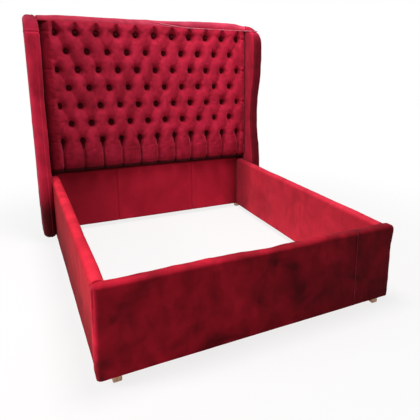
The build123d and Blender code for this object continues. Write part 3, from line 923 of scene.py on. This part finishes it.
def finish_soft(piece, node, velvet):
    """Gives a soft piece its velvet, hangs it on the root body and hides the node that it stands for.
    """
    piece.data.materials.append(velvets[velvet])
    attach(piece, "root")
    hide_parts(node)


# Padded rails, footboard and lower panel

def open_below(low, high):
    """A rule that keeps all faces of a cover but its underside, where only a hem turns in."""
    def keep(centre, axis, far):
        inset = min(*(centre - low)[:2], *(high - centre)[:2])
        return axis != 2 or far or inset < hem_width
    return keep


def make_rail(side):
    """A rail's padded cover: soft top edges, faint upright folds and a hem underneath."""
    low, high = np.array(rail_low), np.array(rail_high)
    xs = graded(low[0], high[0], rail_round)
    ys = graded(low[1], high[1], rail_end_round * 2, round_cell)
    zs = graded(low[2], high[2], rail_round)
    points, faces = box_shell(xs, ys, zs, open_below(low, high))
    moved, normal = rounded(points, low, high, rail_round, -1, 0.95)
    to_end = np.minimum(points[:, 1] - low[1], high[1] - points[:, 1])
    end_round = np.where(points[:, 1] > 0, rail_end_round, rail_foot_round)
    pull = quarter_round(end_round, 1 - to_end / end_round)
    bulge, folds, crumple = layered(moved * (side, 1, 1), rail_layers)
    upper = soft_step((points[:, 2] - low[2]) / rail_hem_fade)
    below_top = soft_step((high[2] - points[:, 2]) / rail_top_fade)
    puff = rail_puff + (bulge + folds * below_top + crumple) * (0.35 + 0.65 * upper)
    puff = np.clip(puff, *rail_puff_limits) + rail_top_puff * np.clip(normal[:, 2], 0, 1)
    moved += normal * (puff - pull)[:, None]
    moved[:, 0] *= side
    word = side_words[side]
    rail = build("rail_velvet_" + word, moved, faces)
    finish_soft(rail, "rail_" + word + "_cover", word + "_rail_velvet")


def round_corner(moved, normal, low, height):
    """Rounds the footboard's left front corner, more towards its top, and gives the crease in it."""
    reach = foot_corner_low + (foot_corner_high - foot_corner_low) * soft_step(height)
    beyond = low[0] + reach - moved[:, 0]
    ahead = low[1] + reach - moved[:, 1]
    away = np.maximum(np.hypot(beyond, ahead), tiny)
    outer = (beyond > 0) & (ahead > 0) & (away > reach)
    level = np.sqrt(np.clip(1 - normal[:, 2] ** 2, 0, 1))
    for axis, past in ((0, beyond), (1, ahead)):
        moved[:, axis] -= np.where(outer, past * (reach / away - 1), 0)
        normal[:, axis] = np.where(outer, -past / away * level, normal[:, axis])
    lasting = soft_step((height - 0.50) / 0.35) * soft_step((1 - height) / 0.06)
    turn = np.arctan2(ahead, beyond) - foot_crease_turn
    return np.where(outer, foot_crease_depth * lasting * ridge(turn, foot_crease_spread), 0)


def make_footboard():
    """The footboard's padded cover, with a wavering top edge, a seam and soft ends."""
    low, high = np.array(foot_low), np.array(foot_high)
    xs = with_seam(graded(low[0], high[0], foot_round * 2), foot_seam_place)
    ys = graded(low[1], high[1], foot_round)
    zs = graded(low[2], high[2], foot_round * 2)
    points, faces = box_shell(xs, ys, zs, open_below(low, high))
    moved, normal = rounded(points, low, high, foot_round, 1, 0.9)
    height = (moved[:, 2] - low[2]) / (high[2] - low[2])
    crease = round_corner(moved, normal, low, height)
    front = normal[:, 1] < -0.5
    seam_line = foot_seam_place + layered(moved, foot_seam_layers)[0]
    seam = swell(moved[:, 0] - seam_line, *foot_seam)
    puff = foot_puff + sum(layered(moved, foot_layers)) + np.where(front, seam, 0)
    near_floor = soft_step((points[:, 2] - low[2]) / foot_hem_fade)
    puff = np.clip(puff, *foot_puff_limits) * (0.3 + 0.7 * near_floor) - crease
    moved += normal * puff[:, None]
    wave = layered(moved, foot_top_layers)[0] + swell(moved[:, 0], *foot_hump)
    moved[:, 2] += np.where(normal[:, 2] > 0.3, wave * normal[:, 2], 0)
    to_right = soft_step((moved[:, 0] - high[0] + foot_swell_run) / foot_swell_run)
    moved[:, 0] += foot_end_swell * soft_step((height - 0.70) / 0.22) * to_right
    path = moved[(np.abs(points[:, 0] - foot_seam_place) < seam_width * 0.1) & front]
    path = path[np.argsort(path[:, 2])]
    make_tube(
        "footboard_seam_piping", path, foot_piping_radius, "foot_piping_velvet",
    )
    footboard = build("footboard_velvet", moved, faces)
    finish_soft(footboard, "footboard_cover", "footboard_velvet")


def make_lower_pad():
    """The plain panel under the buttoned pad, sewn from three widths."""
    low, high = np.array(lower_low), np.array(lower_high)
    xs = steps(low[0], high[0], long_cell)
    for place in (-panel_seam_place, panel_seam_place):
        xs = with_seam(xs, place)
    ys = np.array((low[1], low[1] + panel_edge, high[1]))
    zs = steps(low[2], high[2], long_cell)
    points, faces = box_shell(xs, ys, zs, lambda centre, axis, far: axis != 1 or not far)
    puff = np.clip(sum(layered(points, panel_layers)), *panel_puff_limits)
    for place in (-panel_seam_place, panel_seam_place):
        to_seam = np.abs(points[:, 0] - place)
        puff += swell(to_seam, *panel_groove) + swell(to_seam, *panel_shoulder)
    points[:, 1] -= np.where(points[:, 1] < low[1] + panel_front, puff, 0)
    panel = build("lower_panel_velvet", points, faces)
    finish_soft(panel, "headboard_lower_pad", "panel_velvet")


# Top roll

def seam_height(x):
    """The seam on the roll's front: over the top at the left, drooping to the right."""
    return roll_high[2] - seam_drop_left - seam_drop_more * soft_step((x - seam_turn) / seam_run)


def roll_section():
    """Across the roll: up its front, over its top, down its back and along under it."""
    low, back, top = roll_low[2], roll_high[1], roll_high[2]
    face = crown_face + roll_setback
    crest = face + top_curve_depth
    turn_y, turn_z = back - roll_back_round, top - roll_back_round
    section = [
        (face + top_recess(z), z)
        for z in np.linspace(low - roll_tuck, top - roll_brim, roll_front_count)
    ]
    section += [(y, top) for y in np.linspace(crest, turn_y, 10)[1:]]
    section += [
        (turn_y + roll_back_round * sine, turn_z + roll_back_round * cosine)
        for sine, cosine in quarter(6)[1:]
    ]
    under = [(back, low + roll_back_round), (back, low), (crest, low)]
    return section + under + [(face + roll_inner_run, low - roll_tuck)]


def make_top_roll():
    """The smooth padded strip over the top edge; gives the line of its seam, for the piping."""
    low, high = np.array(roll_low), np.array(roll_high)
    xs = steps(low[0], high[0], long_cell * 0.6)
    section = roll_section()
    count = len(section)
    points = np.array([(x, y, z) for x in xs for y, z in section])
    x = points[:, 0].copy()
    place = np.tile(np.arange(count), len(xs))
    front = place < roll_front_count
    lift = np.where(place < count - 4, sum(layered(points, roll_layers)), 0)
    to_seam = points[:, 2] - seam_height(x)
    seam = swell(to_seam, *roll_seam) + swell(to_seam, *roll_groove)
    seam += seam_puff * soft_step((to_seam - seam_puff_start) / seam_puff_run)
    shown = soft_step((x - seam_turn) / seam_shown_run)
    points[:, 1] -= np.where(front & (place > 0), lift + seam * shown, 0)
    to_right = roll_end_share + (1 - roll_end_share) * soft_step((high[0] - x) / roll_ease_right)
    crown = roll_crown + swell(x, *roll_bump)
    crown *= soft_step((x - low[0]) / roll_ease_left) * to_right
    height = np.clip((points[:, 2] - low[2]) / (high[2] - low[2]), 0, 1)
    points[:, 2] += np.where(front, 0, lift) + crown * height ** 2
    faces = band_faces(len(xs), count, True)
    faces += [range(count), range(len(points) - count, len(points))]
    finish_soft(build("top_roll_velvet", points, faces), "headboard_top_roll", "roll_velvet")
    to_seam = np.abs(to_seam.reshape(len(xs), count)[:, :roll_front_count])
    line = points.reshape(len(xs), count, 3)[np.arange(len(xs)), np.argmin(to_seam, axis=1)]
    return [tuple(point) for point in line if point[0] > piping_start]


def make_piping(seam_line):
    """The piped seam along the roll's front, on over the right wing's brow."""
    inner = wing_inner - piping_radius * 0.5
    brow = lower_face - wing_crown_reach + piping_inset
    height = cap_seam_height[1]
    path = seam_line[:-1] + [(inner, seam_line[-1][1] - piping_lead, height + piping_climb)]
    for start, sign, way in ((inner, 1, inner_way_shares), (wing_outer, -1, outer_way_shares)):
        for aside, behind, above in np.array(way) * wing_outer_round:
            path.append((start + sign * aside, brow + behind, height + above))
    make_tube("top_seam_piping", path, piping_radius, "piping_velvet")


def make_tube(name, path, radius, velvet):
    """A thin piped seam along a path, in the velvet that it is given."""
    path = [Vector(point) for point in path]
    around = 8
    points = []
    for k, centre in enumerate(path):
        ahead = path[min(k + 1, len(path) - 1)] - path[max(k - 1, 0)]
        side = ahead.cross(Vector(aslant)).normalized()
        above = side.cross(ahead).normalized()
        for n in range(around):
            angle = math.tau * n / around
            points.append(centre + (side * math.cos(angle) + above * math.sin(angle)) * radius)
    faces = band_faces(len(path), around, True)
    faces += [range(around), range(len(points) - around, len(points))]
    tube = build(name, points, faces)
    tube.data.materials.append(velvets[velvet])
    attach(tube, "root")


# Wings

def tangent_arc(start, direction, end, count):
    """Points after start on the arc that leaves it in a direction and reaches end, and its heading
    there."""
    direction = np.array(direction, dtype=float)
    chord = np.array(end) - start
    along = np.dot(chord, direction)
    aside = chord - direction * along
    across = np.linalg.norm(aside)
    aside = aside / across
    turn = math.atan2(across, along)
    radius = math.hypot(across, along) / (2 * math.sin(turn))
    angles = 2 * turn * np.arange(1, count + 1)[:, None] / count
    points = start + radius * (direction * np.sin(angles) + aside * (1 - np.cos(angles)))
    return list(points), direction * math.cos(2 * turn) + aside * math.sin(2 * turn)


def wing_outline():
    """The wing's edge from the back of its foot, up the front and over to its back."""
    low, back, top = wing_low[2], wing_high[1], wing_high[2]
    reach_low = lower_face - wing_reach_low
    reach_waist = lower_face - wing_reach_waist
    reach_high = lower_face - wing_reach_high
    below = ((reach_low + reach_waist) / 2, (wing_low_height + wing_waist_height) / 2)
    above = ((reach_high + reach_waist) / 2, (wing_high_height + wing_waist_height) / 2)
    stretches = (
        ((reach_low, low + wing_foot_round), 8), ((reach_low, wing_low_height), 0),
        (below, 20), ((reach_waist, wing_waist_height), 20), (above, 20),
        ((reach_high, wing_high_height), 20), ((reach_high, wing_shoulder_height), 0),
        ((lower_face - wing_crown_reach, top - wing_crown_drop), 40), ((lower_face, top), 30),
    )
    path = [(y, low) for y in steps(back, reach_low + wing_foot_round, long_cell)]
    heading = (-1, 0)
    for end, count in stretches:
        if count:
            points, heading = tangent_arc(path[-1], heading, end, count)
        else:
            points = [(end[0], z) for z in steps(path[-1][1], end[1], long_cell)[1:]]
            heading = (0, 1)
        path += points
    path += [(y, top) for y in steps(lower_face, back, long_cell)[1:]]
    return np.array([tuple(point) for point in path])


def wing_section():
    """Across the wing from its inner to its outer side: (place across, depth in)."""
    inner, outer = wing_inner, wing_outer
    section = [(inner, depth) for depth in wing_inner_depths]
    section += [
        (inner + wing_inner_round * (1 - cosine), wing_inner_round * (1 - sine))
        for sine, cosine in quarter(7)
    ]
    welt_start = inner + wing_inner_round
    for share in np.linspace(0, 1, 7)[1:]:
        rise = welt_height * math.sin(math.pi * min(share * 1.6, 1.6))
        section.append((welt_start + welt_width * share, -rise))
    middle = steps(welt_start + welt_width, outer - wing_outer_round, round_cell)[1:-1]
    section += [(x, 0) for x in middle]
    section += [
        (outer - wing_outer_round * (1 - sine), wing_outer_round * (1 - cosine))
        for sine, cosine in quarter(9)
    ]
    return section + [(outer, depth) for depth in wing_outer_depths]


def wing_band(path, section):
    """Points of the edge band swept round the outline, and their outward directions."""
    run = np.diff(path, axis=0)
    ahead, behind = [
        steps_on / np.linalg.norm(steps_on, axis=1)[:, None]
        for steps_on in (np.vstack((run, run[-1:])), np.vstack((run[:1], run)))
    ]
    heading = (ahead + behind) / np.linalg.norm(ahead + behind, axis=1)[:, None]
    points = []
    outward = []
    for (y, z), (along, up) in zip(path, heading):
        for x, depth in section:
            points.append((x, min(y + up * depth, wing_high[1]), z - along * depth))
            sideways = Vector((-1 if x < (wing_inner + wing_outer) / 2 else 1, 0, 0))
            away = Vector((0, -up, along))
            if depth > 0:
                away = (away + sideways).normalized()
            outward.append(tuple(sideways if depth > wing_side_depth else away))
    return points, outward


def wing_mesh():
    """Points, outward directions and faces of a wing: its edge band, and its sides as fans of
    rings that run from the band to the wing's back."""
    path = wing_outline()
    section = wing_section()
    count, total = len(section), len(path)
    points, outward = wing_band(path, section)
    faces = band_faces(total, count)
    length = np.concatenate([[0], np.cumsum(np.linalg.norm(np.diff(path, axis=0), axis=1))])
    low, high = wing_low[2] + wing_anchor_inset, wing_high[2] - wing_anchor_inset
    anchors = low + (high - low) * length / length[-1]
    backs = []
    for column, sign in ((0, -1), (count - 1, 1)):
        previous = [k * count + column for k in range(total)]
        starts = [points[index] for index in previous]
        for share in wing_fan_shares:
            ring = list(range(len(points), len(points) + total))
            for (x, y, z), anchor in zip(starts, anchors):
                points.append((x, y + (wing_high[1] - y) * share, z + (anchor - z) * share))
            outward += [(sign, 0, 0)] * total
            for k in range(total - 1):
                faces.append((previous[k], previous[k + 1], ring[k + 1], ring[k]))
            previous = ring
        backs.append(previous)
    inner, outer = backs
    for k in range(total - 1):
        faces.append((inner[k], inner[k + 1], outer[k + 1], outer[k]))
    for end in (0, total - 1):
        faces.append([end * count + s for s in range(count)] + [outer[end], inner[end]])
    return np.array(points), np.array(outward), faces


def make_wing(side):
    """A wing's padded cover, uneven as cloth is, with a seam under its cap and drawn-in ends."""
    points, outward, faces = wing_mesh()
    puff = sum(layered(points * (side, 1, 1), wing_layers)) + wing_puff
    puff = np.clip(puff, *wing_puff_limits)
    above_seam = points[:, 2] - cap_seam_height[side]
    puff += swell(above_seam, *cap_seam) + swell(above_seam, *cap_groove)
    at_back = points[:, 1] > wing_high[1] - wing_back_margin
    against_pad = (outward[:, 0] < -0.5) & (points[:, 1] > pit_face - wing_pad_depth)
    puff[at_back | against_pad] = 0
    points = points + outward * puff[:, None]
    draw = quarter_round(wing_end_draw, 1 - (points[:, 2] - wing_low[2]) / wing_end_round)
    middle = (wing_inner + wing_outer) / 2
    across = np.clip((points[:, 0] - middle) / (wing_outer - middle), -1, 1)
    points[:, 0] -= draw * across
    cap_start = cap_seam_height[1]
    cap = soft_step((points[:, 2] - cap_start) / (wing_high[2] - cap_start))
    points[:, 2] += wing_cap_puff[side] * cap * (1 - across ** 2)
    points[:, 0] *= side
    word = side_words[side]
    wing = build("wing_velvet_" + word, points, faces)
    finish_soft(wing, "wing_" + word + "_cover", word + "_wing_velvet")


# Carried-over nodes

def dress_frame():
    """Gives every node that still shows its material, by the record's slots."""
    made = {
        "pine": make_wood("planed_pine", (0.98, 0.70, 0.47), (0.90, 0.57, 0.35), (1, 1, 0.12)),
        "softwood": make_wood(
            "sawn_softwood", (0.72, 0.52, 0.31), (0.50, 0.31, 0.15), (0.10, 1, 1),
        ),
        "plywood": make_plywood(),
        "plate_steel": make_steel("plated_steel", (0.62, 0.62, 0.60), 0.38),
        "fastener_steel": make_steel("yellow_plated_steel", (0.62, 0.56, 0.40), 0.42),
        "back_cloth": make_back_cloth(),
        "velvet": velvets["panel_velvet"],
        "button_velvet": velvets["button_velvet"],
    }
    for name, node in frame["nodes"].items():
        material = made[slots[name]]
        if not node.material_slots:
            node.data.materials.append(material)
        for holder in node.material_slots:
            holder.link = "OBJECT"
            holder.material = material


# Stage, lights and camera

def make_floor():
    """A pale floor that keeps the bed's shadow, and reads as white to the camera."""
    signs = ((-1, -1, 0), (1, -1, 0), (1, 1, 0), (-1, 1, 0))
    floor = raw_piece("floor", np.array(signs) * floor_reach, [(0, 1, 2, 3)])
    material, tree, shader = new_material("pale_floor")
    set_inputs(tree, shader, {"Base Color": (0.86, 0.85, 0.84, 1), "Roughness": 0.9})
    glow = add_node(tree, "ShaderNodeEmission", {"Strength": 1.0})
    place = tree.nodes.new("ShaderNodeTexCoord").outputs["Object"]
    distance = add_node(tree, "ShaderNodeVectorMath", {0: place})
    distance.operation = "LENGTH"
    fade = add_node(tree, "ShaderNodeMapRange", {
        "Value": distance.outputs["Value"], "From Min": floor_fade_start,
        "From Max": floor_fade_end, "To Min": 0.80, "To Max": 1.0,
    })
    fade.interpolation_type = "SMOOTHSTEP"
    both = (shader.outputs["BSDF"], glow.outputs["Emission"])
    show(tree, "Material Output", *both, fade.outputs["Result"])
    floor.data.materials.append(material)


def make_world():
    """A dim even light all round, seen by the camera as plain white."""
    world = bpy.data.worlds.new("studio")
    bpy.context.scene.world = world
    world.use_nodes = True
    tree = world.node_tree
    light = set_inputs(tree, tree.nodes["Background"], {
        "Color": (1.0, 0.98, 0.97, 1), "Strength": 0.30,
    }).outputs["Background"]
    plain = add_node(tree, "ShaderNodeBackground", {
        "Color": (*white, 1), "Strength": 1.0,
    }).outputs["Background"]
    show(tree, "World Output", light, plain)


def make_light(name, place, target, size, power, colour):
    """A soft square lamp that points at a target."""
    data = bpy.data.lights.new(name, "AREA")
    data.size = size
    data.energy = power
    data.color = colour
    lamp = bpy.data.objects.new(name, data)
    bpy.context.scene.collection.objects.link(lamp)
    lamp.location = place
    lamp.rotation_euler = (Vector(target) - Vector(place)).to_track_quat("-Z", "Y").to_euler()


def make_camera():
    """The camera at the photograph's place, turned and shifted as its perspective shows."""
    data = bpy.data.cameras.new("camera")
    data.lens = camera_lens
    data.shift_x, data.shift_y = camera_shift
    camera = bpy.data.objects.new("camera", data)
    bpy.context.scene.collection.objects.link(camera)
    camera.matrix_world = Matrix.Translation(camera_place)
    for angle, axis in ((-camera_yaw, "Z"), (math.pi / 2 + camera_pitch, "X"), (camera_roll, "Z")):
        camera.matrix_world = camera.matrix_world @ Matrix.Rotation(angle, 4, axis)
    bpy.context.scene.camera = camera


make_tufted_pad()
make_buttons()
make_piping(make_top_roll())
make_lower_pad()
make_footboard()
for side in side_words:
    make_rail(side)
    make_wing(side)
dress_frame()

make_floor()
make_world()
for name, lamp in lamps.items():
    make_light(name, *lamp)
make_camera()
bpy.context.scene.view_settings.view_transform = "Standard"
